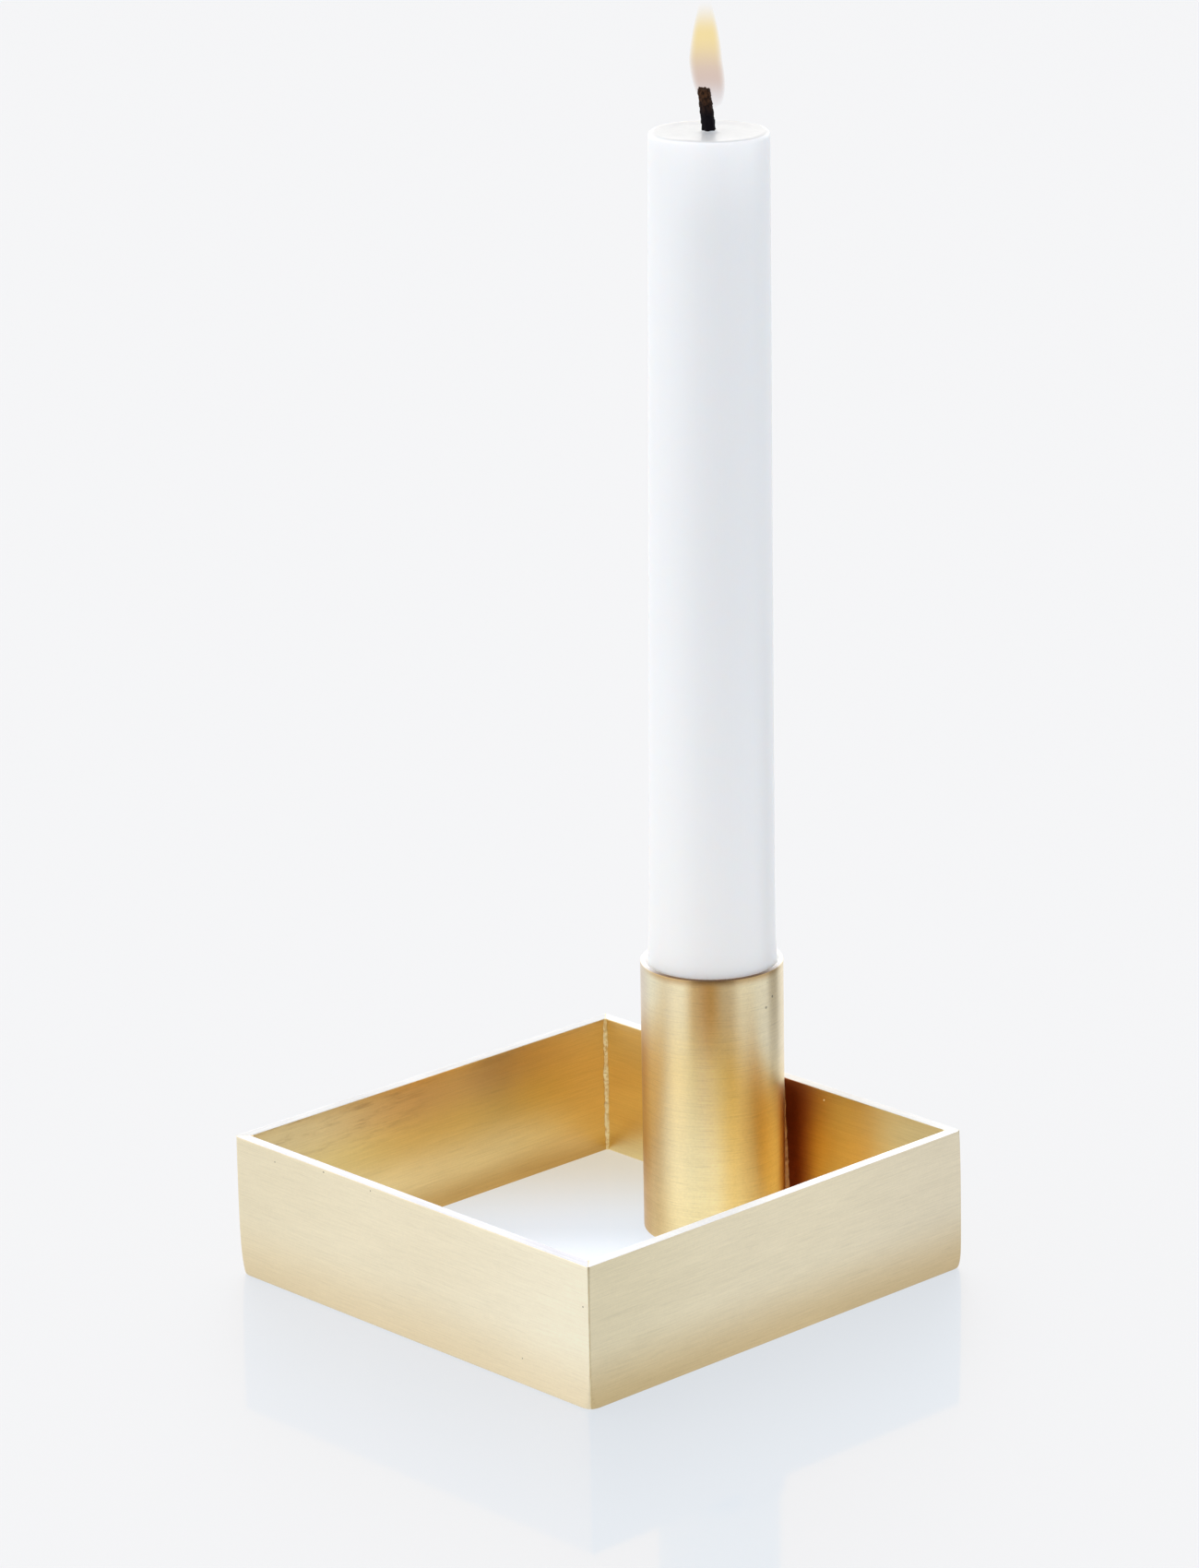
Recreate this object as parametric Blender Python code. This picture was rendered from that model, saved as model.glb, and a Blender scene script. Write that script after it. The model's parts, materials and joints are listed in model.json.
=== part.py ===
"""Square brass candlestick: four mitred bars brazed into a low open frame, with a candle tube inside it.

Metres, +Z up. The origin is the centre of the frame's footprint, on the table that it stands on. The front
wall faces -Y, and the tube is brazed to the inside of the rear wall, at +Y. The candle stands in the tube
and lifts out along its own axis.

Run it with: blender --background --python part.py
"""

import math

import bmesh
import bpy
from mathutils import Vector

MM = 0.001

# Frame: four flat bars on edge.
SIDE = 85.0 * MM
FRAME_HEIGHT = 24.3 * MM
BAR_THICKNESS = 2.0 * MM
INNER_CHAMFER = 0.12 * MM
BOTTOM_EDGE_RADIUS = 0.45 * MM
TOP_EDGE_RADIUS = 0.12 * MM

# Joints: filler metal in a narrow gap, kept clear of what it joins so that each piece stays its own solid.
FILLER_CLEARANCE = 0.03 * MM
MITRE_FILM = 0.10 * MM
BEAD_LEG = 0.80 * MM
BEAD_UNEVENNESS = 0.14 * MM
BEAD_STEP = 1.6 * MM
TUBE_STANDOFF = 0.20 * MM

# Candle tube: 24 mm outside, open at the top, closed by a disc near its foot.
TUBE_RADIUS = 12.0 * MM
BORE_RADIUS = 11.1 * MM
TUBE_HEIGHT = 47.5 * MM
TUBE_OFFSET = -1.4 * MM
TUBE_RIM_RADIUS = 0.22 * MM
TUBE_FOOT_RADIUS = 0.35 * MM
FLOOR_UNDERSIDE = 1.0 * MM
FLOOR_THICKNESS = 1.5 * MM
FLOOR_CLEARANCE = 0.05 * MM
FILLET_ANGLE_FOOT = math.radians(27.0)
FILLET_ANGLE_TOP = math.radians(20.0)
FILLET_SPREAD = 0.75 * MM

# Candle: a tapered household candle, standing a little out of true in its socket.
CANDLE_TOP = 187.7 * MM
CANDLE_SEAT_GAP = 0.30 * MM
CANDLE_BASE_RADIUS = 10.70 * MM
CANDLE_TOP_RADIUS = 9.85 * MM
CANDLE_BASE_CHAMFER = 0.6 * MM
CANDLE_EDGE_RADIUS = 0.8 * MM
CANDLE_DISH = 0.7 * MM
CANDLE_PIVOT_HEIGHT = 35.0 * MM
CANDLE_LEAN = math.radians(0.44)
CANDLE_LEAN_HEADING = math.radians(46.65)
WICK_BORE_RADIUS = 1.30 * MM
WICK_RADIUS = 1.03 * MM
WICK_TIP_RADIUS = 0.76 * MM
WICK_LENGTH_OUT = 6.9 * MM
WICK_BEND = 1.1 * MM

# How finely round shapes are divided.
TUBE_SEGMENTS = 96
CANDLE_SEGMENTS = 72
ROUND_STEPS = 4
CORNER_STEPS = 5
FILLET_STEPS = 10
OVERSHOOT = 1.0 * MM

HALF = SIDE / 2
INNER_HALF = HALF - BAR_THICKNESS
MITRE_HALF_GAP = MITRE_FILM / 2 + FILLER_CLEARANCE
TUBE_AXIS_Y = INNER_HALF - TUBE_STANDOFF - TUBE_RADIUS
CANDLE_BASE = FLOOR_UNDERSIDE + FLOOR_THICKNESS + CANDLE_SEAT_GAP

# The frame's corners were rounded by hand, so each has its own radius: along its middle, and what is added
# towards its foot and towards its top, each with the height over which that extra fades. In the order
# rear right, rear left, front left, front right.
CORNER_FINISH = (
    {"radius": 0.25 * MM, "foot": 1.4 * MM, "foot_fade": 1.2 * MM, "top": 0.8 * MM, "top_fade": 6.0 * MM},
    {"radius": 0.40 * MM, "foot": 1.6 * MM, "foot_fade": 1.6 * MM, "top": 0.3 * MM, "top_fade": 4.0 * MM},
    {"radius": 0.80 * MM, "foot": 1.8 * MM, "foot_fade": 3.2 * MM, "top": 0.1 * MM, "top_fade": 4.0 * MM},
    {"radius": 0.35 * MM, "foot": 2.0 * MM, "foot_fade": 1.8 * MM, "top": 0.1 * MM, "top_fade": 4.0 * MM},
)


def clear_scene():
    for obj in list(bpy.data.objects):
        bpy.data.objects.remove(obj, do_unlink=True)


def material(name, colour, metallic, roughness):
    made = bpy.data.materials.new(name)
    made.use_nodes = True
    shader = made.node_tree.nodes["Principled BSDF"]
    shader.inputs["Base Color"].default_value = (*colour, 1.0)
    shader.inputs["Metallic"].default_value = metallic
    shader.inputs["Roughness"].default_value = roughness
    made.diffuse_color = (*colour, 1.0)
    return made


def brushed_brass():
    return material("brushed_brass", (0.78, 0.62, 0.36), 1.0, 0.34)


def tube_brass():
    return material("tube_brass", (0.79, 0.60, 0.31), 1.0, 0.30)


def filler_metal():
    return material("filler_metal", (0.90, 0.78, 0.50), 1.0, 0.38)


def white_wax():
    return material("white_wax", (0.93, 0.93, 0.92), 0.0, 0.42)


def charred_cotton():
    return material("charred_cotton", (0.020, 0.016, 0.014), 0.0, 0.90)


def add_object(name, mesh, finish):
    obj = bpy.data.objects.new(name, mesh)
    bpy.context.scene.collection.objects.link(obj)
    if finish is not None:
        mesh.materials.append(finish)
    return obj


def skinned_mesh(name, rings, closed_loop=False):
    """A mesh through rings of equally many points. It caps the first and last ring, or joins them up."""
    form = bmesh.new()
    verts = [[form.verts.new(point) for point in ring] for ring in rings]
    pairs = list(zip(verts, verts[1:]))
    if closed_loop:
        pairs.append((verts[-1], verts[0]))
    else:
        form.faces.new(verts[0])
        form.faces.new(verts[-1])
    for lower, upper in pairs:
        for i, vert in enumerate(lower):
            after = (i + 1) % len(lower)
            form.faces.new((vert, lower[after], upper[after], upper[i]))
    bmesh.ops.recalc_face_normals(form, faces=form.faces)
    mesh = bpy.data.meshes.new(name)
    form.to_mesh(mesh)
    form.free()
    return mesh


def shade_round(mesh, sharp_angle=math.radians(40)):
    mesh.shade_smooth()
    mesh.set_sharp_from_angle(angle=sharp_angle)


def intersect(obj, envelope):
    keep = obj.modifiers.new("finished_outside", "BOOLEAN")
    keep.operation = "INTERSECT"
    keep.solver = "EXACT"
    keep.object = envelope


def quarter_round(radius, steps=ROUND_STEPS):
    """(inset, rise) pairs along a quarter circle, from the flat face below up to the upright face."""
    pairs = []
    for i in range(steps + 1):
        turn = math.radians(90.0) * i / steps
        pairs.append((radius * (1 - math.sin(turn)), radius * (1 - math.cos(turn))))
    return pairs


def turned(name, profile, segments, finish):
    """A solid turned about Z. The profile is a closed loop of (radius, height) that runs down its outer side."""
    loop = bmesh.new()
    verts = [loop.verts.new((radius, 0.0, height)) for radius, height in profile]
    for i, vert in enumerate(verts):
        loop.edges.new((vert, verts[(i + 1) % len(verts)]))
    mesh = bpy.data.meshes.new(name)
    loop.to_mesh(mesh)
    loop.free()
    obj = add_object(name, mesh, finish)
    turn = obj.modifiers.new("turned", "SCREW")
    turn.axis = "Z"
    turn.angle = math.radians(360)
    turn.steps = segments
    turn.render_steps = segments
    turn.use_merge_vertices = True
    turn.merge_threshold = 0.00001
    turn.use_smooth_shade = True
    return obj


# Frame


def corner_radius(corner, height):
    finish = CORNER_FINISH[corner]
    foot = finish["foot"] * math.exp(-height / finish["foot_fade"])
    top = finish["top"] * math.exp(-(FRAME_HEIGHT - height) / finish["top_fade"])
    return finish["radius"] + foot + top


def frame_outline(height, inset):
    """The frame's outside at one height: a square with its own radius at each corner."""
    half = HALF - inset
    points = []
    for corner in range(4):
        radius = corner_radius(corner, height)
        start = math.radians(90.0) * corner
        side_x = 1 if corner in (0, 3) else -1
        side_y = 1 if corner in (0, 1) else -1
        centre = Vector((side_x * (half - radius), side_y * (half - radius), height))
        for i in range(CORNER_STEPS + 1):
            angle = start + math.radians(90.0) * i / CORNER_STEPS
            points.append(centre + radius * Vector((math.cos(angle), math.sin(angle), 0.0)))
    return points


def frame_envelope():
    """The finished outside of the whole frame, which trims every bar and every corner joint alike."""
    stations = [(rise, inset) for inset, rise in quarter_round(BOTTOM_EDGE_RADIUS)]
    for step in (1.0, 1.8, 3.0, 5.0, 8.0, 12.0, 16.0, 20.0):
        stations.append((step * MM, 0.0))
    for inset, rise in reversed(quarter_round(TOP_EDGE_RADIUS, 2)):
        stations.append((FRAME_HEIGHT - rise, inset))
    rings = [frame_outline(height, inset) for height, inset in stations]
    envelope = add_object("frame_envelope", skinned_mesh("frame_envelope", rings), None)
    envelope.hide_render = True
    envelope.display_type = "WIRE"
    return envelope


def bar_mesh(name):
    """A mitred bar along the front, oversize outside, where the envelope trims it to its finished faces."""
    outer = HALF + OVERSHOOT
    chamfer_run = INNER_HALF + INNER_CHAMFER + OVERSHOOT
    section = (
        (INNER_HALF, INNER_CHAMFER),
        (INNER_HALF, FRAME_HEIGHT - INNER_CHAMFER),
        (chamfer_run, FRAME_HEIGHT + OVERSHOOT),
        (outer, FRAME_HEIGHT + OVERSHOOT),
        (outer, -OVERSHOOT),
        (chamfer_run, -OVERSHOOT),
    )
    mitre_step = MITRE_HALF_GAP * math.sqrt(2)
    ends = []
    for side in (-1, 1):
        ends.append([(side * (depth - mitre_step), -depth, height) for depth, height in section])
    return skinned_mesh(name, ends)


def frame_bars(envelope, finish):
    for quarter, name in enumerate(("front_wall", "right_wall", "rear_wall", "left_wall")):
        bar = add_object(name, bar_mesh(name), finish)
        bar.rotation_euler.z = math.radians(90.0) * quarter
        shade_round(bar.data)
        intersect(bar, envelope)


def bead_leg(height, phase):
    """How far the filler runs out along each bar's inner face at this height: hand work, so never even."""
    slow = math.sin(height / (3.1 * MM) + phase)
    fast = math.sin(height / (1.07 * MM) + 2.3 * phase)
    return BEAD_LEG + BEAD_UNEVENNESS * (0.65 * slow + 0.45 * fast)


def corner_joint_section(leg):
    """(along the diagonal, across it) in the front right corner: a film in the mitre, then a bead inside."""
    inner = INNER_HALF * math.sqrt(2) - FILLER_CLEARANCE * math.sqrt(2)
    film = MITRE_FILM / 2
    reach = leg / math.sqrt(2)
    hollow = 0.12 * leg
    return (
        (HALF * math.sqrt(2) + OVERSHOOT, film),
        (inner - film, film),
        (inner - reach, reach),
        (inner - reach + hollow, reach * 0.45),
        (inner - reach + hollow, -reach * 0.45),
        (inner - reach, -reach),
        (inner - film, -film),
        (HALF * math.sqrt(2) + OVERSHOOT, -film),
    )


def corner_joints(envelope, finish):
    names = ("braze_front_right", "braze_rear_right", "braze_rear_left", "braze_front_left")
    count = math.ceil((FRAME_HEIGHT + 2 * OVERSHOOT) / BEAD_STEP)
    for quarter, name in enumerate(names):
        rings = []
        for i in range(count + 1):
            height = -OVERSHOOT + (FRAME_HEIGHT + 2 * OVERSHOOT) * i / count
            section = corner_joint_section(bead_leg(height, 1.7 * quarter))
            rings.append([(along, across, height) for along, across in section])
        joint = add_object(name, skinned_mesh(name, rings), finish)
        joint.rotation_euler.z = math.radians(90.0) * quarter - math.radians(45.0)
        intersect(joint, envelope)


# Candle tube


def candle_tube(finish):
    rim = quarter_round(TUBE_RIM_RADIUS)
    foot = quarter_round(TUBE_FOOT_RADIUS)
    profile = []
    for inset, rise in rim:
        profile.append((TUBE_RADIUS - inset, TUBE_HEIGHT - rise))
    for inset, rise in reversed(foot):
        profile.append((TUBE_RADIUS - inset, rise))
    bore_edge = INNER_CHAMFER
    profile.append((BORE_RADIUS + bore_edge, 0.0))
    profile.append((BORE_RADIUS, bore_edge))
    profile.append((BORE_RADIUS, TUBE_HEIGHT - bore_edge))
    profile.append((BORE_RADIUS + bore_edge, TUBE_HEIGHT))
    tube = turned("candle_tube", profile, TUBE_SEGMENTS, finish)
    tube.location = (TUBE_OFFSET, TUBE_AXIS_Y, 0.0)


def socket_floor(finish):
    radius = BORE_RADIUS - FLOOR_CLEARANCE
    form = bmesh.new()
    bmesh.ops.create_circle(form, cap_ends=True, radius=radius, segments=TUBE_SEGMENTS)
    raised = bmesh.ops.extrude_face_region(form, geom=form.faces[:])
    top = [item for item in raised["geom"] if isinstance(item, bmesh.types.BMVert)]
    bmesh.ops.translate(form, verts=top, vec=(0.0, 0.0, FLOOR_THICKNESS))
    bmesh.ops.recalc_face_normals(form, faces=form.faces)
    mesh = bpy.data.meshes.new("socket_floor")
    form.to_mesh(mesh)
    form.free()
    shade_round(mesh)
    floor = add_object("socket_floor", mesh, finish)
    floor.location = (TUBE_OFFSET, TUBE_AXIS_Y, FLOOR_UNDERSIDE)


def fillet_section(angle):
    """The filler between tube and rear wall seen from above, about the tube's axis, out to this angle."""
    radius = TUBE_RADIUS + FILLER_CLEARANCE
    wall = TUBE_RADIUS + TUBE_STANDOFF - FILLER_CLEARANCE
    points = []
    for i in range(FILLET_STEPS + 1):
        turn = angle * (1 - 2 * i / FILLET_STEPS)
        points.append((radius * math.sin(turn), radius * math.cos(turn)))
    edge_x, edge_y = points[0]
    hollow = (edge_x + 0.2 * FILLET_SPREAD, edge_y + 0.6 * (wall - edge_y))
    on_wall = (edge_x + FILLET_SPREAD, wall)
    points.append((-hollow[0], hollow[1]))
    points.append((-on_wall[0], on_wall[1]))
    points.append(on_wall)
    points.append(hollow)
    return points


def tube_joint(finish):
    """Filler along the line where tube and rear wall meet. More of it ran to the foot, where it was fed in."""
    foot = BOTTOM_EDGE_RADIUS
    top = FRAME_HEIGHT - FILLER_CLEARANCE * 10
    rings = []
    for i in range(FILLET_STEPS + 1):
        share = i / FILLET_STEPS
        angle = FILLET_ANGLE_FOOT + (FILLET_ANGLE_TOP - FILLET_ANGLE_FOOT) * share
        height = foot + (top - foot) * share
        rings.append([(x, y, height) for x, y in fillet_section(angle)])
    joint = add_object("tube_braze", skinned_mesh("tube_braze", rings), finish)
    joint.location = (TUBE_OFFSET, TUBE_AXIS_Y, 0.0)
    shade_round(joint.data)


# Candle


def candle_axis():
    """The empty that the candle stands on: its Z is the line along which the candle lifts out."""
    axis = bpy.data.objects.new("candle_axis", None)
    bpy.context.scene.collection.objects.link(axis)
    axis.location = (TUBE_OFFSET, TUBE_AXIS_Y, CANDLE_PIVOT_HEIGHT)
    heading = Vector((math.cos(CANDLE_LEAN_HEADING), math.sin(CANDLE_LEAN_HEADING), 0.0))
    along = heading * math.sin(CANDLE_LEAN) + Vector((0.0, 0.0, math.cos(CANDLE_LEAN)))
    axis.rotation_mode = "QUATERNION"
    axis.rotation_quaternion = Vector((0.0, 0.0, 1.0)).rotation_difference(along)
    return axis


def candle_wax(axis, finish):
    base = CANDLE_BASE - CANDLE_PIVOT_HEIGHT
    top = CANDLE_TOP - CANDLE_PIVOT_HEIGHT
    profile = [(WICK_BORE_RADIUS, top - CANDLE_DISH), (CANDLE_TOP_RADIUS * 0.5, top - 0.45 * CANDLE_DISH)]
    for inset, rise in quarter_round(CANDLE_EDGE_RADIUS):
        profile.append((CANDLE_TOP_RADIUS - inset, top - rise))
    profile.append((CANDLE_BASE_RADIUS, base + CANDLE_BASE_CHAMFER))
    profile.append((CANDLE_BASE_RADIUS - CANDLE_BASE_CHAMFER, base))
    profile.append((WICK_BORE_RADIUS, base))
    wax = turned("candle_wax", profile, CANDLE_SEGMENTS, finish)
    wax.parent = axis


def wick(axis, finish):
    """A cotton wick through the whole candle, bent over a little where it stands out of the wax."""
    foot = CANDLE_BASE - CANDLE_PIVOT_HEIGHT + OVERSHOOT
    mouth = CANDLE_TOP - CANDLE_PIVOT_HEIGHT - CANDLE_DISH
    tip = CANDLE_TOP - CANDLE_PIVOT_HEIGHT + WICK_LENGTH_OUT
    line = bpy.data.curves.new("wick", "CURVE")
    line.dimensions = "3D"
    line.bevel_depth = 1.0
    line.bevel_resolution = 3
    line.use_fill_caps = True
    spline = line.splines.new("POLY")
    steps = 8
    heights = [foot] + [mouth + (tip - mouth) * i / steps for i in range(steps + 1)]
    spline.points.add(len(heights) - 1)
    for point, height in zip(spline.points, heights):
        out = max(0.0, (height - mouth) / (tip - mouth))
        sideways = -WICK_BEND * out**1.3
        x = sideways * math.cos(CANDLE_LEAN_HEADING)
        y = sideways * math.sin(CANDLE_LEAN_HEADING)
        point.co = (x, y, height, 1.0)
        point.radius = WICK_RADIUS + (WICK_TIP_RADIUS - WICK_RADIUS) * out**2
    line.materials.append(finish)
    cord = bpy.data.objects.new("wick", line)
    bpy.context.scene.collection.objects.link(cord)
    cord.parent = axis


def build():
    clear_scene()
    envelope = frame_envelope()
    frame_bars(envelope, brushed_brass())
    corner_joints(envelope, filler_metal())
    tube_finish = tube_brass()
    candle_tube(tube_finish)
    socket_floor(tube_finish)
    tube_joint(filler_metal())
    axis = candle_axis()
    candle_wax(axis, white_wax())
    wick(axis, charred_cotton())


build()
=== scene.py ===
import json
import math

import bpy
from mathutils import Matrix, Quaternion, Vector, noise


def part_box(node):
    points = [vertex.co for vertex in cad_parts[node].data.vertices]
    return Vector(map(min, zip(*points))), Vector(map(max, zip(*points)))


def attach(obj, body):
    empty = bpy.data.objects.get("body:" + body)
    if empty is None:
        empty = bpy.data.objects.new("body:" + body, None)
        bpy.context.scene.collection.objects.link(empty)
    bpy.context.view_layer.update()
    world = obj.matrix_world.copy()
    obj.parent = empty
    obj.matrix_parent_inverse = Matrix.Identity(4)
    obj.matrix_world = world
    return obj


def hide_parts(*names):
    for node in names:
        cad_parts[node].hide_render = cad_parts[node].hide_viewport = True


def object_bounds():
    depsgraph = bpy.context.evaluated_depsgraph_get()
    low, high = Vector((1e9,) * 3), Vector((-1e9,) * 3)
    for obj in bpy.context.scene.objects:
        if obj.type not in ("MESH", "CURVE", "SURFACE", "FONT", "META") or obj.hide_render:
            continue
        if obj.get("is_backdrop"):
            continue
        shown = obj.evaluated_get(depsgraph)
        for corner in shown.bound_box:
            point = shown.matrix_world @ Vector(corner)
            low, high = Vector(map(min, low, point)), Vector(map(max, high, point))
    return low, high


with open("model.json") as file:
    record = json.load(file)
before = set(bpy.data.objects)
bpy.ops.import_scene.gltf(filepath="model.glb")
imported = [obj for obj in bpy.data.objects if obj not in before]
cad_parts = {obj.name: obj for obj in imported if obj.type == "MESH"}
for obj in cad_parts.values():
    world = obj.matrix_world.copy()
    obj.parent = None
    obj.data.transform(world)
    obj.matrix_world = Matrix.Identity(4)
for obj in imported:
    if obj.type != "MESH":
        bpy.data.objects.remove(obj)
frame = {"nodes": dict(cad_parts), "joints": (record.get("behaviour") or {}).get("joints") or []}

# Looks of the square brass candlestick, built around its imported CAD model.
#
# Metres, +Z up, in the CAD model's frame: the front wall faces -Y, and the tube stands at +Y inside the rear
# wall. The walls, tube, filler metal, candle and wick are finer versions of their CAD nodes, and the socket
# floor keeps its CAD mesh. The flame, the floor, the cards and the light are only staging.

CAD_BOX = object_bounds()
MM = 0.001

# Frame, from the CAD nodes.
WALL_LOW, WALL_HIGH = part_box("front_wall")
HALF = -WALL_LOW.y
INNER_HALF = -WALL_HIGH.y
WALL_THICKNESS = HALF - INNER_HALF
WALL_HEIGHT = WALL_HIGH.z

# Tube, from the CAD nodes.
TUBE_LOW, TUBE_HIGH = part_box("candle_tube")
TUBE_RADIUS = (TUBE_HIGH.x - TUBE_LOW.x) / 2
TUBE_AXIS = (TUBE_LOW + TUBE_HIGH) / 2
TUBE_HEIGHT = TUBE_HIGH.z
SOCKET_LOW, SOCKET_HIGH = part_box("socket_floor")
BORE_RADIUS = (SOCKET_HIGH.x - SOCKET_LOW.x) / 2 + 0.05 * MM

# Candle, from the CAD nodes and the line that it lifts along.
CANDLE_UP = Vector(frame["joints"][0]["axis"]).normalized()
CANDLE_PIVOT = Vector((TUBE_AXIS.x, TUBE_AXIS.y, 35.0 * MM))
CANDLE_TURN = Vector((0.0, 0.0, 1.0)).rotation_difference(CANDLE_UP)
CANDLE_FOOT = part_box("candle_wax")[0].z + 0.1 * MM
CANDLE_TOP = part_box("candle_wax")[1].z - 0.1 * MM
CANDLE_FOOT_RADIUS = 10.70 * MM
CANDLE_TOP_RADIUS = 9.85 * MM
CANDLE_LIP = 0.28 * MM
CANDLE_SWELL = 0.10 * MM
WICK_RADIUS = 1.20 * MM
WICK_BEND = -0.85 * MM
WICK_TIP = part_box("wick")[1].z - 0.3 * MM

# Hand finish of the frame's outside. Each corner has a radius along its middle, and an extra towards its
# foot and its top with the height over which that fades: rear right, rear left, front left, front right.
CORNER_FINISH = (
    {"radius": 0.25 * MM, "foot": 1.4 * MM, "foot_fade": 1.2 * MM, "top": 0.8 * MM, "top_fade": 6.0 * MM},
    {"radius": 0.40 * MM, "foot": 1.6 * MM, "foot_fade": 1.6 * MM, "top": 0.3 * MM, "top_fade": 4.0 * MM},
    {"radius": 0.80 * MM, "foot": 1.8 * MM, "foot_fade": 3.2 * MM, "top": 0.1 * MM, "top_fade": 4.0 * MM},
    {"radius": 0.35 * MM, "foot": 2.0 * MM, "foot_fade": 1.8 * MM, "top": 0.1 * MM, "top_fade": 4.0 * MM},
)
FOOT_EDGE_RADIUS = 0.45 * MM
RIM_EDGE_RADIUS = 0.14 * MM
MITRE_HALF_GAP = 0.055 * MM
FILM_HALF = 0.05 * MM

# Walls: outside, how uneven the finish is, patches inside the left and rear walls, which are painted
# reflections, a stain and painted shade beside the tube, and glints inside, painted highlights that glow.
WALL_PALE = (0.958, 0.845, 0.608)
WALL_WEAR = 0.3
LEFT_FRONT_PAINTED_REFLECTION = (0.66, 0.60, 0.36)
LEFT_BACK_PAINTED_REFLECTION = (0.930, 0.680, 0.320)
LEFT_STAIN = (0.30, 0.16, 0.07)
REAR_PAINTED_SHADE = (0.500, 0.200, 0.110)
GLINT = (0.98, 0.90, 0.70)
GLINT_GLOW = 0.30
GLINT_GLOW_COLOUR = (0.98, 0.95, 0.70)
# Inside colours by share of the height: deeper gold than the outside, a painted reflection of the walls in
# each other.
INSIDE_LEFT = (
    (0.03, (0.680, 0.435, 0.150)),
    (0.28, (0.960, 0.745, 0.350)),
    (0.60, (0.870, 0.620, 0.205)),
    (0.88, (0.810, 0.565, 0.240)),
)
INSIDE_REAR = (
    (0.05, (1.000, 0.850, 0.470)),
    (0.30, (0.970, 0.740, 0.320)),
    (0.60, (0.950, 0.700, 0.285)),
    (0.88, (0.865, 0.680, 0.320)),
)
# "along" tints the outside at the wall's -X or -Y end, at its middle and at its other end, which is painted
# light and shade along it, "foot" is painted shade on the outside low down, the shaded floor reflected,
# "rim" is a pale painted highlight on the upward faces, and "marks" are pits.
BACK_LOOK = {
    "along": ((0.97, 0.97, 0.97), (0.99, 0.99, 0.99), (0.97, 0.97, 0.97)),
    "foot": (0.900, 0.740, 0.460),
    "rim": (0.775, 0.780, 0.790),
    "marks": [],
}
WALL_LOOKS = {
    "front": {
        "along": ((0.925, 0.920, 0.905), (0.980, 0.980, 0.985), (1.050, 1.075, 1.130)),
        "foot": (0.900, 0.740, 0.475),
        "inside": INSIDE_LEFT,
        "rim": (0.735, 0.740, 0.790),
        "marks": [
            Vector((-32.3 * MM, -HALF, 22.3 * MM)),
            Vector((-8.6 * MM, -HALF, 23.5 * MM)),
            Vector((26.9 * MM, -HALF, 4.6 * MM)),
        ],
    },
    "right": {
        "along": ((0.905, 0.890, 0.840), (0.990, 0.975, 0.960), (0.915, 0.900, 0.910)),
        "foot": (0.780, 0.600, 0.330),
        "inside": INSIDE_LEFT,
        "rim": (1.000, 1.000, 1.000),
        "marks": [],
    },
    "rear": {**BACK_LOOK, "inside": INSIDE_REAR},
    "left": {**BACK_LOOK, "inside": INSIDE_LEFT},
}

# Painted reflections round the tube, from its left silhouette (0) to its right one (1) as the camera sees
# it:
# low down between the walls, and above them.
TUBE_LOW_PAINTED_REFLECTIONS = (
    (0.00, (0.740, 0.485, 0.195)),
    (0.08, (0.840, 0.640, 0.340)),
    (0.25, (0.950, 0.840, 0.520)),
    (0.48, (1.000, 0.890, 0.525)),
    (0.64, (0.950, 0.745, 0.320)),
    (0.80, (0.870, 0.595, 0.205)),
    (0.95, (0.970, 0.720, 0.300)),
)
TUBE_HIGH_PAINTED_REFLECTIONS = (
    (0.00, (0.670, 0.575, 0.450)),
    (0.08, (0.915, 0.850, 0.630)),
    (0.27, (0.940, 0.875, 0.645)),
    (0.38, (0.930, 0.720, 0.395)),
    (0.48, (0.840, 0.560, 0.220)),
    (0.58, (0.935, 0.750, 0.440)),
    (0.72, (0.930, 0.800, 0.520)),
    (0.90, (0.885, 0.765, 0.530)),
)
# The tube's wear, the painted reflection at its foot, the painted shade under its rim in front, its rim's
# painted highlight behind and painted shade in front, its bore's painted highlight, and the painted glow
# near the mouth.
TUBE_WEAR = 0.6
TUBE_FOOT_PAINTED_REFLECTION = (0.980, 0.880, 0.680)
TUBE_EDGE_PAINTED_SHADE = (0.62, 0.42, 0.20)
TUBE_RIM_PAINTED_LIGHT_AND_SHADE = ((0.80, 0.80, 0.82), (0.26, 0.16, 0.09))
BORE_PAINTED_HIGHLIGHT = (0.90, 0.88, 0.85)
MOUTH_GLOW = 0.35
MOUTH_GLOW_COLOUR = (0.97, 0.97, 0.97)
# Pits high on the tube: how far to the right of its axis, and how high, in millimetres.
TUBE_PITS = ((8.8, 41.4), (9.9, 42.9))

# Metal's roughness, and what its upward rims add to it.
ROUGHNESS = 0.34
RIM_ROUGHNESS = 0.22

# Filler metal, clean and stained: in the frame's corners, and darkened red-brown beside the tube, which is
# painted shade in the crevice there.
FILLER_COLOURS = ((0.97, 0.84, 0.50), (0.86, 0.64, 0.30))
PAINTED_SHADE_FILLER_COLOURS = ((0.54, 0.26, 0.09), (0.40, 0.18, 0.07))

# Wax: its two shades, its top's darker colour, which is painted shade, and the colour of a painted glow
# for the light that comes through it.
WAX_COLOURS = ((0.955, 0.960, 0.965), (0.935, 0.940, 0.945))
WAX_TOP_PAINTED_SHADE = (0.650, 0.655, 0.660)
WAX_GLOW_COLOUR = (0.98, 0.98, 1.00)

# Wick, two shades each: sooty below, brown at its tip.
SOOT_COLOURS = ((0.002, 0.001, 0.004), (0.008, 0.006, 0.009))
CHAR_COLOURS = ((0.012, 0.005, 0.002), (0.085, 0.036, 0.015))

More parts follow.
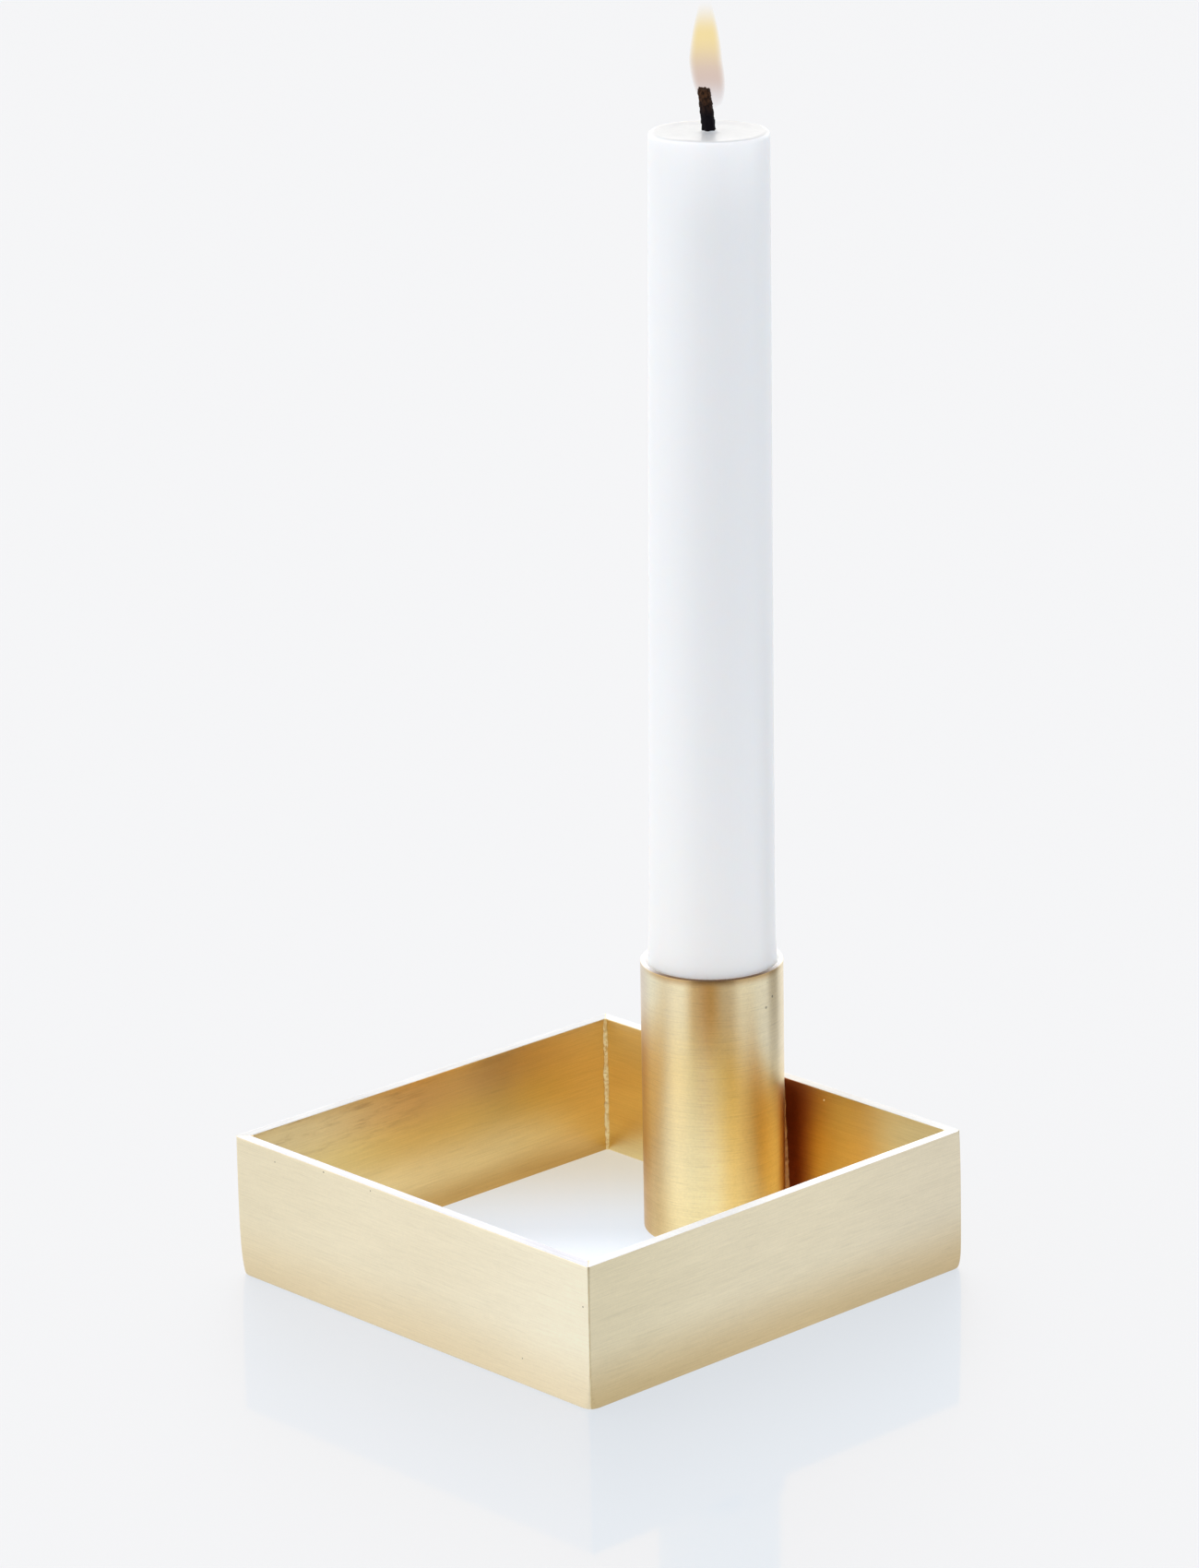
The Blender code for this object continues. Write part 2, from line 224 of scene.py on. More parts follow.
# Flame, from its foot to its tip.
FLAME_COLOURS = ((0.60, 0.545, 0.58), (0.69, 0.55, 0.48), (0.90, 0.73, 0.38))

# Soft light: all round, from the left, from the right, low from the camera's side and low from behind.
LIGHT_AROUND = (0.99, 1.00, 1.03)
LIGHT_LEFT = (1.32, 1.32, 1.33)
LIGHT_RIGHT = (0.72, 0.74, 0.78)
LIGHT_FRONT = (0.42, 0.44, 0.48)
LIGHT_BEHIND = (2.05, 2.00, 1.90)

# Floor: its own even light, the painted warmer light by the frame's back inner corner, and how much of it
# is sheen.
FLOOR_LIGHT = (0.694, 0.751, 0.813)
FLOOR_CORNER_LIGHT = (0.700, 0.645, 0.520)
FLOOR_SHEEN = 0.12

# Dark cards: what they give off.
FRONT_CARD = (0.10, 0.06, 0.035)
SIDE_CARD = (0.30, 0.27, 0.22)

# Camera.
CAMERA_AZIMUTH = math.radians(46.65)
CAMERA_ELEVATION = math.radians(16.96)
CAMERA_ROLL = math.radians(-1.02)
CAMERA_DISTANCE = 1003.3 * MM
CAMERA_AIM = Vector((-30.1, 30.3, 71.5)) * MM
CAMERA_LENS = 135.74

TOWARDS_CAMERA = Vector((math.sin(CAMERA_AZIMUTH), -math.cos(CAMERA_AZIMUTH), 0.0))
TO_THE_RIGHT = Vector((math.cos(CAMERA_AZIMUTH), math.sin(CAMERA_AZIMUTH), 0.0))


# Meshes


def new_mesh(name, points, faces):
    mesh = bpy.data.meshes.new(name)
    mesh.from_pydata([tuple(point) for point in points], [], faces)
    mesh.validate()
    mesh.update()
    return mesh


def new_object(name, data):
    made = bpy.data.objects.new(name, data)
    bpy.context.scene.collection.objects.link(made)
    return made


def mesh_from_grid(name, rings):
    """A closed mesh through rings of equally many points, with a face at each end."""
    count = len(rings[0])
    points = [point for ring in rings for point in ring]
    faces = []
    for r in range(len(rings) - 1):
        for i in range(count):
            after = (i + 1) % count
            lower = r * count
            upper = lower + count
            faces.append((lower + i, lower + after, upper + after, upper + i))
    last = (len(rings) - 1) * count
    faces.append(tuple(reversed(range(count))))
    faces.append(tuple(range(last, last + count)))
    return new_mesh(name, points, faces)


def lathe(name, profile, segments, place):
    """A closed mesh turned about Z. place(radius, angle, height) gives each point. The profile runs from the
    top to the foot, both on the axis, or it is a closed loop."""
    on_axis = profile[0][0] == 0.0
    body = profile[1:-1] if on_axis else profile
    points = []
    for radius, height in body:
        for i in range(segments):
            points.append(place(radius, math.tau * i / segments, height))
    faces = []
    rows = len(body)
    for r in range(rows if not on_axis else rows - 1):
        upper = r * segments
        lower = ((r + 1) % rows) * segments
        for i in range(segments):
            after = (i + 1) % segments
            faces.append((upper + i, lower + i, lower + after, upper + after))
    if on_axis:
        top = len(points)
        points.append(place(0.0, 0.0, profile[0][1]))
        points.append(place(0.0, 0.0, profile[-1][1]))
        last = (rows - 1) * segments
        for i in range(segments):
            after = (i + 1) % segments
            faces.append((top, i, after))
            faces.append((top + 1, last + after, last + i))
    return new_mesh(name, points, faces)


def shade_round(mesh, sharp_angle=math.radians(50)):
    mesh.shade_smooth()
    mesh.set_sharp_from_angle(angle=sharp_angle)


def add_piece(name, mesh, finish, body, slot, *stands_for):
    """Adds a piece that rides on this body and replaces these CAD nodes."""
    piece = new_object(name, mesh)
    mesh.materials.append(finish)
    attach(piece, body)
    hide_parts(*stands_for)


def arc(centre, radius, start, end, steps):
    """Points along an arc, from one angle to another in degrees."""
    points = []
    for i in range(steps + 1):
        angle = math.radians(start + (end - start) * i / steps)
        points.append((centre[0] + radius * math.cos(angle), centre[1] + radius * math.sin(angle)))
    return points


def spaced(start, end, steps):
    """The values between two ends, without the ends."""
    return [start + (end - start) * i / steps for i in range(1, steps)]


def unevenness(x, y, z, scale, seed):
    """Smooth noise from -1 to 1, over features of about this size."""
    return noise.noise(Vector((x / scale + 17.3 * seed, y / scale - 5.1 * seed, z / scale)))


# Frame walls


def corner_radius(corner, height):
    """The radius that the frame's outer corner is rounded to at this height."""
    finish = CORNER_FINISH[corner]
    foot = finish["foot"] * math.exp(-height / finish["foot_fade"])
    top = finish["top"] * math.exp(-(WALL_HEIGHT - height) / finish["top_fade"])
    return finish["radius"] + foot + top


def wall_section():
    """(distance out from the middle of the frame, height) round a wall's cross-section."""
    foot = FOOT_EDGE_RADIUS
    rim = RIM_EDGE_RADIUS
    top = WALL_HEIGHT
    section = arc((HALF - foot, foot), foot, -90, 0, 6)
    section += [(HALF, foot + (top - rim - foot) * share) for share in spaced(0.0, 1.0, 26)]
    section += arc((HALF - rim, top - rim), rim, 0, 90, 4)
    section += [(depth, top) for depth in spaced(HALF - rim, INNER_HALF + rim, 5)]
    section += arc((INNER_HALF + rim, top - rim), rim, 90, 180, 4)
    section += [(INNER_HALF, height) for height in spaced(top - rim, rim, 16)]
    section += arc((INNER_HALF + rim, rim), rim, 180, 270, 4)
    section += [(depth, 0.0) for depth in spaced(INNER_HALF + rim, HALF - foot, 4)]
    return section


def wall_stations():
    """Shares of the half length, from mitre to mitre, closer together near the rounded corners."""
    near_corner = (0.0, 0.03, 0.08, 0.15, 0.24, 0.36, 0.52, 0.72, 0.96, 1.25, 1.6, 2.1, 2.8, 3.8)
    last = near_corner[-1] * MM / HALF
    one_side = [1.0 - gap * MM / HALF for gap in near_corner]
    middle = [(1.0 - last) * (1.0 - 2.0 * share) for share in spaced(0.0, 1.0, 78)]
    return [-share for share in one_side] + sorted(middle) + list(reversed(one_side))


def outer_depth(along, height, corner):
    """How far out the frame's outside lies here, with its corner rounded."""
    radius = corner_radius(corner, height)
    start = HALF - radius
    past = abs(along) - start
    if past <= 0.0:
        return HALF
    return start + math.sqrt(max(radius * radius - past * past, 0.0))


def wall_point(share, depth, height, corner, seed):
    """(along, out) of one point of a wall that lies this share of the way to its mitre."""
    thickness_share = (depth - INNER_HALF) / WALL_THICKNESS
    mitre_gap = MITRE_HALF_GAP * math.sqrt(2)
    out = depth
    along = share * (out - mitre_gap)
    # Near the rounded corner, out and along depend on each other, so they are settled step by step.
    for _ in range(24):
        outside = outer_depth(along, height, corner)
        target = INNER_HALF + thickness_share * (outside - INNER_HALF)
        out = (out + target) / 2
        along = share * (out - mitre_gap)
    hollow = 0.5 + 0.5 * unevenness(along, seed, height, 14 * MM, seed)
    hollow += 0.3 + 0.3 * unevenness(along, seed, height, 5 * MM, seed + 3)
    away_from_ends = min(1.0, (1.0 - abs(share)) / 0.02)
    out -= 0.022 * MM * hollow * away_from_ends * thickness_share
    return along, out


def wall_mesh(name, quarter):
    """One bar of the frame: the front wall's bar, turned by this many quarters."""
    corner_before = (2, 3, 0, 1)[quarter]
    corner_after = (3, 0, 1, 2)[quarter]
    section = wall_section()
    turn = math.radians(90.0) * quarter
    cos_turn = math.cos(turn)
    sin_turn = math.sin(turn)
    rings = []
    for share in wall_stations():
        corner = corner_before if share < 0 else corner_after
        ring = []
        for depth, height in section:
            along, out = wall_point(share, depth, height, corner, quarter + 1)
            ring.append((along * cos_turn + out * sin_turn, along * sin_turn - out * cos_turn, height))
        rings.append(ring)
    mesh = mesh_from_grid(name, rings)
    shade_round(mesh)
    return mesh


def frame_walls():
    for quarter, side in enumerate(("front", "right", "rear", "left")):
        node = f"{side}_wall"
        finish = brushed_wall(side, quarter)
        add_piece(f"{node}_brushed", wall_mesh(node, quarter), finish, "holder", "brushed_brass", node)


# Filler metal


def bead_leg(height, corner):
    """How far the filler runs out along each wall's inner face at this height."""
    slow = unevenness(0.0, 0.0, height, 3.4 * MM, 11 + corner)
    fast = unevenness(0.0, 0.0, height, 0.9 * MM, 23 + corner)
    fine = unevenness(0.0, 0.0, height, 0.38 * MM, 31 + corner)
    leg = 0.52 + 0.17 * slow + 0.17 * fast + 0.09 * fine
    thin_foot = math.exp(-height / (2.0 * MM))
    thin_top = math.exp(-(WALL_HEIGHT - height) / (1.2 * MM))
    return max(0.20, leg - 0.22 * thin_foot - 0.18 * thin_top) * MM


def corner_bead_mesh(name, corner):
    """A film through the mitre and an uneven bead inside the corner, as sections across its diagonal."""
    diagonal = math.radians(45.0) + math.radians(90.0) * corner
    cos_turn = math.cos(diagonal)
    sin_turn = math.sin(diagonal)
    clearance = 0.006 * MM
    front_steps = 8
    count = 190
    rings = []
    for i in range(count + 1):
        height = WALL_HEIGHT * i / count
        radius = corner_radius(corner, height)
        edge = 0.0
        if height < FOOT_EDGE_RADIUS:
            drop = FOOT_EDGE_RADIUS - height
            edge = FOOT_EDGE_RADIUS - math.sqrt(FOOT_EDGE_RADIUS**2 - drop**2)
        outer = (HALF - edge - radius) * math.sqrt(2) + radius
        inner = (INNER_HALF - clearance) * math.sqrt(2)
        leg_a = bead_leg(height, corner)
        leg_b = bead_leg(height, corner + 4)
        section = [(outer, FILM_HALF), (inner - FILM_HALF, FILM_HALF)]
        for step in range(front_steps + 1):
            share = step / front_steps
            across = leg_a / math.sqrt(2) * (1 - share) - leg_b / math.sqrt(2) * share
            back = leg_a / math.sqrt(2) * (1 - share) + leg_b / math.sqrt(2) * share
            swell = math.sin(math.pi * share) * (leg_a + leg_b) / 2
            lump = unevenness(across, 0.0, height, 0.30 * MM, 40 + corner)
            section.append((inner - back - swell * (0.10 + 0.16 * lump), across))
        section += [(inner - FILM_HALF, -FILM_HALF), (outer, -FILM_HALF)]
        ring = []
        for out, across in section:
            ring.append((out * cos_turn - across * sin_turn, out * sin_turn + across * cos_turn, height))
        rings.append(ring)
    mesh = mesh_from_grid(name, rings)
    shade_round(mesh, math.radians(60))
    return mesh


def corner_beads(finish):
    for corner, name in enumerate(("rear_right", "rear_left", "front_left", "front_right")):
        mesh = corner_bead_mesh(f"bead_{name}", corner)
        add_piece(f"braze_{name}_bead", mesh, finish, "holder", "filler_metal", f"braze_{name}")


def tube_joint_mesh():
    """Filler between the tube and the rear wall, wider at its foot, with an uneven edge."""
    radius = TUBE_RADIUS + 0.006 * MM
    wall = INNER_HALF - 0.006 * MM - TUBE_AXIS.y
    foot = FOOT_EDGE_RADIUS
    top = WALL_HEIGHT - 0.3 * MM
    count = 120
    steps = 14
    rings = []
    for i in range(count + 1):
        share = i / count
        height = foot + (top - foot) * share
        reach = {}
        for side in (-1, 1):
            wander = unevenness(side, 0.0, height, 2.6 * MM, 60 + side)
            ripple = unevenness(side, 0.0, height, 0.7 * MM, 70 + side)
            angle = 27.0 - 7.0 * share + 0.9 * wander + 0.5 * ripple
            spread = (0.62 + 0.12 * wander + 0.08 * ripple) * MM
            reach[side] = (math.radians(angle), spread)
        ring = []
        for step in range(steps + 1):
            angle = reach[1][0] + (-reach[-1][0] - reach[1][0]) * step / steps
            ring.append((radius * math.sin(angle), radius * math.cos(angle)))
        left_angle, left_spread = reach[-1]
        right_angle, right_spread = reach[1]
        left_edge = (-radius * math.sin(left_angle), radius * math.cos(left_angle))
        right_edge = (radius * math.sin(right_angle), radius * math.cos(right_angle))
        for step in spaced(0.0, 1.0, 5):
            flare = left_spread * step**2
            ring.append((left_edge[0] - flare, left_edge[1] + (wall - left_edge[1]) * step))
        ring.append((left_edge[0] - left_spread, wall))
        ring.append((right_edge[0] + right_spread, wall))
        for step in reversed(spaced(0.0, 1.0, 5)):
            flare = right_spread * step**2
            ring.append((right_edge[0] + flare, right_edge[1] + (wall - right_edge[1]) * step))
        rings.append([(TUBE_AXIS.x + x, TUBE_AXIS.y + y, height) for x, y in reversed(ring)])
    mesh = mesh_from_grid("tube_joint", rings)
    shade_round(mesh, math.radians(60))
    return mesh


# Candle tube


def tube_mesh():
    """The tube, with a rounded rim and foot, made slightly uneven by hand finishing."""
    rim = 0.22 * MM
    foot = 0.35 * MM
    lip = 0.12 * MM
    top = TUBE_HEIGHT
    profile = arc((TUBE_RADIUS - rim, top - rim), rim, 90, 0, 5)
    profile += [(TUBE_RADIUS, height) for height in spaced(top - rim, foot, 60)]
    profile += arc((TUBE_RADIUS - foot, foot), foot, 0, -90, 6)
    profile += arc((BORE_RADIUS + lip, lip), lip, -90, -180, 3)
    profile += [(BORE_RADIUS, height) for height in spaced(lip, top - lip, 30)]
    profile += arc((BORE_RADIUS + lip, top - lip), lip, 180, 90, 4)

    def place(radius, angle, height):
        x = radius * math.cos(angle)
        y = radius * math.sin(angle)
        hand = 0.5 + 0.5 * unevenness(x, y, height, 6 * MM, 5)
        outside = max(0.0, (radius - BORE_RADIUS) / (TUBE_RADIUS - BORE_RADIUS))
        near_rim = math.exp(-(top - height) / (0.5 * MM))
        nick = 0.5 + 0.5 * unevenness(x, y, 0.0, 1.7 * MM, 8)
        radius -= 0.02 * MM * hand * outside
        height -= 0.035 * MM * nick * near_rim
        return TUBE_AXIS.x + radius * math.cos(angle), TUBE_AXIS.y + radius * math.sin(angle), height

    mesh = lathe("candle_tube", profile, 192, place)
    shade_round(mesh)
    return mesh


# Candle


def on_candle(x, y, height):
    """A point given beside the candle's own axis, in the frame."""
    return CANDLE_PIVOT + CANDLE_TURN @ Vector((x, y, height - CANDLE_PIVOT.z))


def beside_axis(sideways, radius, angle, height):
    """A point round a line that lies this far to the right of the candle's own axis."""
    x = sideways * TO_THE_RIGHT.x + radius * math.cos(angle)
    y = sideways * TO_THE_RIGHT.y + radius * math.sin(angle)
    return on_candle(x, y, height)


def candle_mesh():
    """The tapered candle, with a shallow pool at its top and a slight lip where it leaves the tube."""
    top = CANDLE_TOP
    edge = 0.9 * MM
    dish = 0.40 * MM
    profile = [(0.0, top - 0.35 * MM)]
    for radius in (0.35, 0.7, 1.0, 1.25, 1.6, 2.1, 2.8, 3.8, 5.0, 6.2, 7.2, 8.0, 8.55):
        share = radius * MM / (CANDLE_TOP_RADIUS - edge)
        pool = dish * (1.0 - share**4)
        climb = 0.45 * MM * math.exp(-((radius * MM - 1.0 * MM) / (0.42 * MM)) ** 2)
        profile.append((radius * MM, top - pool + climb * (radius > 0.9)))
    profile += arc((CANDLE_TOP_RADIUS - edge, top - edge), edge, 80, 0, 8)
    for height in spaced(top - edge, CANDLE_FOOT + 0.6 * MM, 150):
        share = (top - height) / (top - CANDLE_FOOT)
        radius = CANDLE_TOP_RADIUS + (CANDLE_FOOT_RADIUS - CANDLE_TOP_RADIUS) * share
        above_mouth = max(height - TUBE_HEIGHT, 0.0)
        swell = CANDLE_LIP * math.exp(-above_mouth / (3.5 * MM))
        swell += CANDLE_SWELL * math.exp(-above_mouth / (40.0 * MM))
        out_of_bore = min(max((height - TUBE_HEIGHT + 3.0 * MM) / (1.5 * MM), 0.0), 1.0)
        profile.append((radius + swell * out_of_bore, height))
    profile += [(CANDLE_FOOT_RADIUS, CANDLE_FOOT + 0.6 * MM), (CANDLE_FOOT_RADIUS - 0.6 * MM, CANDLE_FOOT)]
    profile.append((0.0, CANDLE_FOOT))

    def place(radius, angle, height):
        x = radius * math.cos(angle)
        y = radius * math.sin(angle)
        wave = unevenness(x, y, height, 16 * MM, 2)
        ripple = unevenness(x, y, height, 4 * MM, 4)
        outside = min(1.0, radius / CANDLE_TOP_RADIUS) ** 4
        inward = 0.035 * MM * (0.5 + 0.5 * wave) + 0.012 * MM * (0.5 + 0.5 * ripple)
        radius -= inward * outside
        near_top = math.exp(-(top - height) / (1.2 * MM)) if radius > 6 * MM else 0.0
        height -= 0.22 * MM * (0.5 + 0.5 * unevenness(x, y, 0.0, 5 * MM, 6)) * near_top
        return on_candle(radius * math.cos(angle), radius * math.sin(angle), height)

    mesh = lathe("candle_wax", profile, 128, place)
    shade_round(mesh, math.radians(70))
    return mesh


def wick_centre(share):
    """(sideways, height) of the wick's middle, from inside the wax to the tip."""
    start = CANDLE_TOP - 2.5 * MM
    mouth = CANDLE_TOP - 0.75 * MM
    height = start + (WICK_TIP - start) * share
    out = max(0.0, (height - mouth) / (WICK_TIP - mouth))
    return WICK_BEND * out**1.3, height


def wick_mesh():
    """A braided cotton cord, charred and shrunken towards its ragged tip."""
    around = 40
    rows = 110
    rings = []
    for row in range(rows + 1):
        share = row / rows
        sideways, height = wick_centre(share)
        width = WICK_RADIUS - 0.13 * MM * share**2
        ring = []
        for i in range(around):
            angle = math.tau * i / around
            twist = height / (3.0 * MM) * math.tau
            strands = math.cos(3 * angle + twist) * math.cos(3 * angle - twist)
            around_x = math.cos(angle)
            around_y = math.sin(angle)
            fray = unevenness(around_x, around_y, height / (0.5 * MM), 0.45, 9)
            fibre = unevenness(around_x, around_y, height / (1.6 * MM), 0.14, 12)
            radius = width * (0.93 + 0.07 * strands + 0.09 * fray + 0.03 * fibre)
            ragged = 0.50 * MM * unevenness(around_x, around_y, 0.0, 0.5, 14) * share**6
            ring.append(beside_axis(sideways, radius, angle, height - 0.15 * MM * share**6 + ragged))
        rings.append(ring)
    for step, inset in enumerate((0.72, 0.40)):
        sideways, height = wick_centre(1.0)
        ring = []
        for i in range(around):
            angle = math.tau * i / around
            radius = 1.05 * MM * inset
            pit = unevenness(math.cos(angle) * inset, math.sin(angle) * inset, 0.0, 0.35, 19)
            rise = (-0.25 + 0.22 * pit - 0.1 * step) * MM
            ring.append(beside_axis(sideways, radius, angle, height + rise))
        rings.append(ring)
    mesh = mesh_from_grid("wick", rings)
    shade_round(mesh, math.radians(70))
    return mesh


# Shader graphs


class Shader:
    """A node tree that is built by calls. Each call adds a node and returns its output socket."""

    def __init__(self, owner):
        owner.use_nodes = True
        self.tree = owner.node_tree
        self.tree.nodes.clear()

    def add(self, kind, output=0, **inputs):
        """A node with these inputs, named with _ for a space."""
        node = self.tree.nodes.new(kind)
        for key, value in inputs.items():
            self.feed(node.inputs[key.replace("_", " ")], value)
        return node.outputs[output]

    def feed(self, socket, value):
        if isinstance(value, bpy.types.NodeSocket):
            self.tree.links.new(value, socket)
        elif isinstance(value, (tuple, Vector)) and len(value) == 3 and socket.type == "RGBA":
            socket.default_value = (*value, 1.0)
        else:
            socket.default_value = value

    def calculate(self, kind, operation, values, output=0):
        node = self.tree.nodes.new(kind)
        node.operation = operation
        for socket, value in zip(node.inputs, values):
            self.feed(socket, value)
        return node.outputs[output]

    def math(self, operation, *values):
        return self.calculate("ShaderNodeMath", operation, values)

    def vector(self, operation, *values):
        output = 1 if operation in ("DOT_PRODUCT", "LENGTH") else 0
        return self.calculate("ShaderNodeVectorMath", operation, values, output)

    def product(self, *values):
        result = values[0]
        for value in values[1:]:
            result = self.math("MULTIPLY", result, value)
        return result

    def brightened(self, colour, factor):
        """The colour times a plain factor."""
        return self.vector("SCALE", colour, (0.0, 0.0, 0.0), (0.0, 0.0, 0.0), factor)

    def split(self, vector):
        node = self.tree.nodes.new("ShaderNodeSeparateXYZ")
        self.feed(node.inputs[0], vector)
        return node.outputs

    def join(self, x, y, z):
        return self.add("ShaderNodeCombineXYZ", X=x, Y=y, Z=z)

    def fade(self, value, low, high, to_low=0.0, to_high=1.0):
        """Runs smoothly from to_low to to_high while value goes from low to high."""
        node = self.tree.nodes.new("ShaderNodeMapRange")
        node.interpolation_type = "SMOOTHSTEP"
        names = ("Value", "From Min", "From Max", "To Min", "To Max")
        for name, given in zip(names, (value, low, high, to_low, to_high)):
            self.feed(node.inputs[name], given)
        return node.outputs[0]

    def noise(self, vector, detail=2.0, roughness=0.5):
        """Noise around 0.5, with features about one unit of the vector apart."""
        node = "ShaderNodeTexNoise"
        return self.add(node, Vector=vector, Scale=1.0, Detail=detail, Roughness=roughness)

    def mix(self, share, first, second, blend="MIX"):
        node = self.tree.nodes.new("ShaderNodeMix")
        node.data_type = "RGBA"
        node.blend_type = blend
        self.feed(node.inputs[0], share)
        self.feed(node.inputs[6], first)
        self.feed(node.inputs[7], second)
        return node.outputs[2]

    def ramp(self, value, stops):
        """A colour that runs smoothly through (value, colour) stops, with values from 0 to 1."""
        node = self.tree.nodes.new("ShaderNodeValToRGB")
        node.color_ramp.interpolation = "EASE"
        elements = node.color_ramp.elements
        while len(elements) < len(stops):
            elements.new(1.0)
        for element, (position, colour) in zip(elements, stops):
            element.position = position
            element.color = (*colour, 1.0)
        self.feed(node.inputs[0], value)
        return node.outputs[0]

    def spots(self, place, centres, radius):
        """1 within small uneven spots around these points, 0 elsewhere."""
        wobble = self.noise(scaled(self, place, (0.25, 0.25, 0.25)))
        mask = 0.0
        for centre in centres:
            gap = self.vector("LENGTH", self.vector("SUBTRACT", place, tuple(centre)))
            reach = self.math("MULTIPLY", self.math("ADD", wobble, 0.4), radius)
            spot = self.fade(self.math("DIVIDE", gap, reach), 0.6, 1.2, 1.0, 0.0)
            mask = self.math("MAXIMUM", mask, spot)
        return mask

    def specks(self, place, spacing_mm, radius, share):
        """1 within rare tiny specks, 0 elsewhere. share is how many of the cells hold one."""
        node = self.tree.nodes.new("ShaderNodeTexVoronoi")
        self.feed(node.inputs["Vector"], scaled(self, place, (spacing_mm,) * 3))
        self.feed(node.inputs["Scale"], 1.0)
        chosen = self.math("LESS_THAN", self.split(node.outputs["Color"])[0], share)
        speck = self.fade(node.outputs["Distance"], radius * 0.6, radius, 1.0, 0.0)
        return self.math("MULTIPLY", speck, chosen)

    def bump(self, height, distance):
        return self.add("ShaderNodeBump", Height=height, Distance=distance, Strength=1.0)

    def place(self):
        """Where the point is in the frame, at rest."""
        return self.add("ShaderNodeTexCoord", output=3)

    def facing(self):
        """The surface's own normal, before any bump."""
        return self.add("ShaderNodeNewGeometry", output=1)

    def blend(self, share, first, second):
        """A mix of two whole shaders."""
        node = self.tree.nodes.new("ShaderNodeMixShader")
        for socket, value in zip(node.inputs, (share, first, second)):
            self.feed(socket, value)
        return node.outputs[0]

    def surface(self, shader, kind="ShaderNodeOutputMaterial"):
        output = self.tree.nodes.new(kind)
        self.feed(output.inputs["Surface"], shader)

    def principled(self, **inputs):
        self.surface(self.add("ShaderNodeBsdfPrincipled", **inputs))


def new_material(name):
    made = bpy.data.materials.new(name)
    return made, Shader(made)


def scaled(shader, vector, sizes_mm):
    """The vector in units of these feature sizes, given in millimetres."""
    return shader.vector("MULTIPLY", vector, tuple(1.0 / (size * MM) for size in sizes_mm))


def brushed_metal(shader, grain, scratch, colour, rim, worn, pits, glow, glow_colour):
    """Brushed metal. grain is (along the scratches, and two ways across them) in metres, and scratch is the
    direction of the scratches. A scratch spreads a reflection across itself, which is the tangent's way.
    rim is 1 on a rim, worn is how uneven the finish is, and pits are dark and sunken."""
    fine = shader.noise(scaled(shader, grain, (6.0, 0.12, 0.12)), detail=3.0, roughness=0.65)
    coarse = shader.noise(scaled(shader, grain, (14.0, 0.34, 0.34)), detail=3.0, roughness=0.6)
    cloud = shader.noise(scaled(shader, grain, (18.0, 5.0, 5.0)), detail=4.0, roughness=0.6)
    lines = shader.math("ADD", shader.math("MULTIPLY", fine, 0.65), shader.math("MULTIPLY", coarse, 0.35))
    tone = shader.math("ADD", shader.math("MULTIPLY", lines, 0.75), shader.math("MULTIPLY", cloud, 0.25))
    brushed = shader.fade(tone, 0.30, 0.70, 0.93, 1.06)
    strokes = shader.noise(scaled(shader, grain, (5.0, 0.20, 0.20)), detail=1.0)
    stroked = shader.fade(strokes, 0.56, 0.74, 1.0, 1.0 - 0.14 * worn)
    mottle = shader.noise(scaled(shader, shader.place(), (0.45, 0.45, 0.45)), detail=3.0, roughness=0.6)
    mottled = shader.fade(mottle, 0.25, 0.75, 1.0 - 0.06 * worn, 1.0 + 0.06 * worn)
    pitted = shader.fade(pits, 0.0, 1.0, 1.0, 0.45)
    tinted = shader.brightened(colour, shader.product(brushed, stroked, mottled, pitted))
    rough = shader.math("ADD", ROUGHNESS, shader.math("MULTIPLY", rim, RIM_ROUGHNESS))
    rough = shader.math("ADD", rough, shader.fade(tone, 0.3, 0.7, 0.05, -0.05))
    tangent = shader.vector("NORMALIZE", shader.vector("CROSS_PRODUCT", scratch, shader.facing()))
    normal = shader.bump(shader.math("SUBTRACT", lines, pits), 0.004 * MM)
    shader.principled(
        Base_Color=tinted,
        Metallic=1.0,
        Roughness=rough,
        Anisotropic=0.75,
        Emission_Color=glow_colour,
        Emission_Strength=glow,
        Normal=normal,
        Tangent=tangent,
    )


def left_inside(shader, deep, height):
    """The left wall's inside: greyer in front and warmer low down at the back, both painted reflections,
    and stained near its top.
    """
    place = shader.place()
    _, y, z = shader.split(place)
    # Painted reflections: greyer in front, warmer low down at the back.
    front_reflection = shader.fade(y, -0.1 * HALF, -0.9 * HALF)
    deep = shader.mix(front_reflection, deep, shader.mix(0.5, deep, LEFT_FRONT_PAINTED_REFLECTION))
    near_back = shader.product(shader.fade(y, 0.5 * HALF, 0.9 * HALF), shader.fade(height, 0.0, 0.2))
    deep = shader.mix(near_back, deep, LEFT_BACK_PAINTED_REFLECTION)
    streaks = shader.noise(scaled(shader, place, (3.0, 7.0, 1.1)), detail=5.0, roughness=0.6)
    near_top = shader.fade(z, 13.0 * MM, 21.0 * MM)
    front_half = shader.fade(y, 0.1 * HALF, -0.3 * HALF)
    stained = shader.product(shader.fade(streaks, 0.45, 0.72), near_top, front_half)
    return shader.mix(stained, deep, shader.mix(0.4, deep, LEFT_STAIN))


